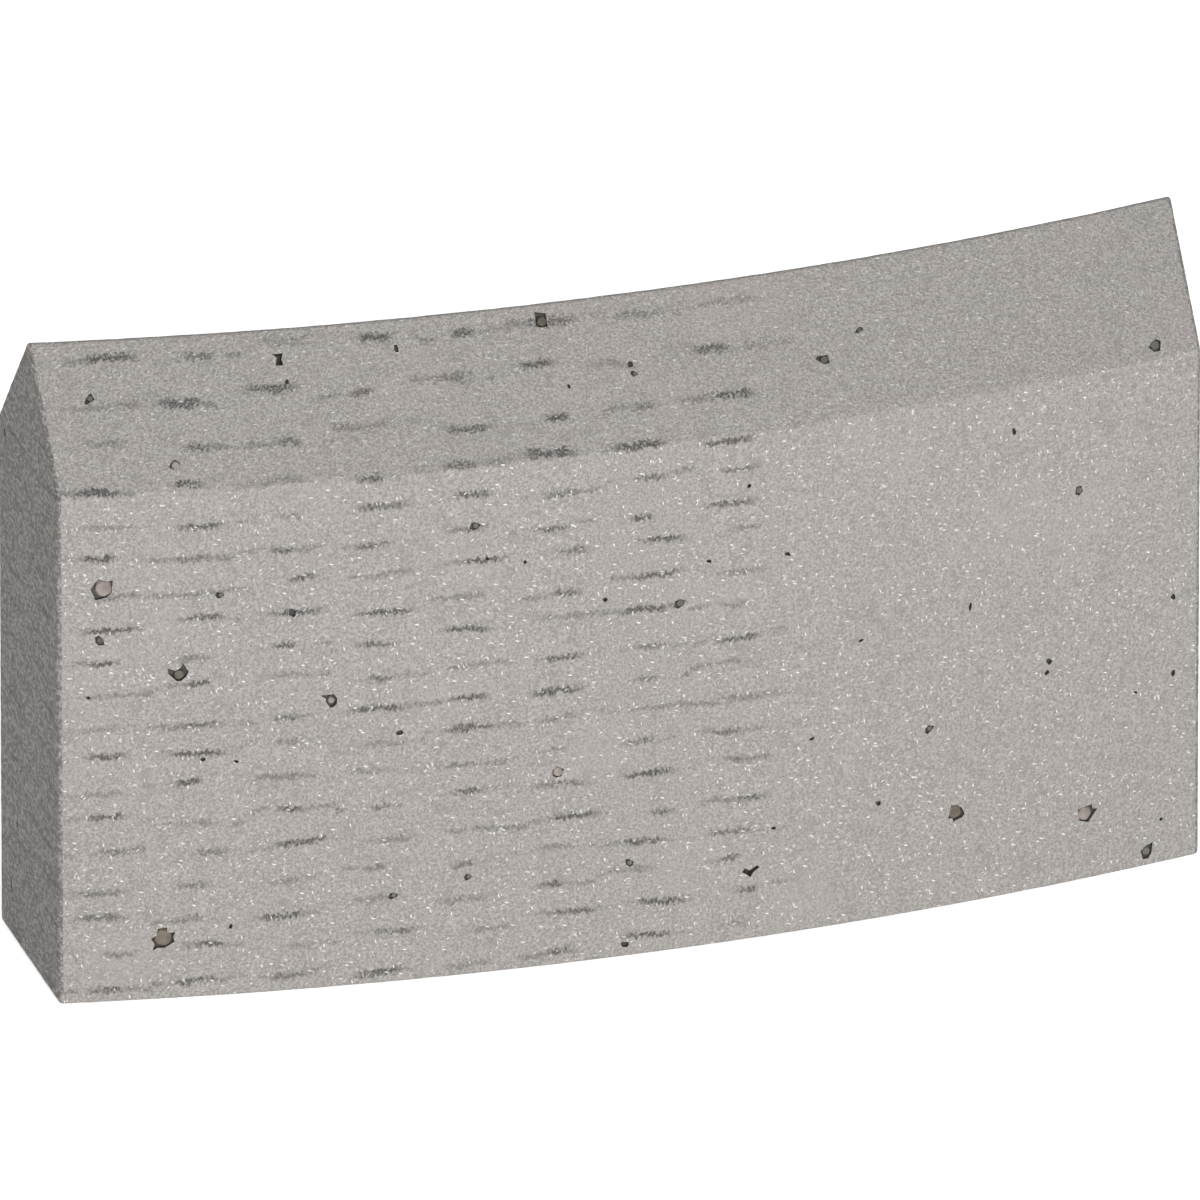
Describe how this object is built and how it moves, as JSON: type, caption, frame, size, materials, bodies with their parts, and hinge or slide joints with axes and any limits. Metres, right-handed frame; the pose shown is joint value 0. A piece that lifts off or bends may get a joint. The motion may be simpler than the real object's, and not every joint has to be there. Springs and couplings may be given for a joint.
{
  "type": "diamond core drill segment",
  "caption": "Short curved block of sintered metal with a gable roof top, studded with diamond crystals, brazed upright on the rim of a core bit to cut stone and concrete.",
  "frame": {"origin": "middle of the flat foot, at the bottom centre of the bounding box", "axes": "+X along the chord of the arc, -Y towards the convex outer face, +Z from the brazed foot to the ridge of the roof"},
  "size_m": [0.024, 0.0054, 0.0137],
  "materials": {
    "sintered_bond": "as-sintered metal powder, matt and finely speckled",
    "diamond_grit": "blocky synthetic diamond crystals, greasy lustre, pale to olive brown"
  },
  "bodies": {
    "root": {"bond": "sintered_bond", "outer_face_grits": "diamond_grit", "outer_roof_grits": "diamond_grit", "inner_face_grits": "diamond_grit", "inner_roof_grits": "diamond_grit", "left_end_grits": "diamond_grit", "right_end_grits": "diamond_grit", "core_grits_outer_layer": "diamond_grit", "core_grits_middle_layer": "diamond_grit", "core_grits_inner_layer": "diamond_grit"}
  },
  "joints": []
}
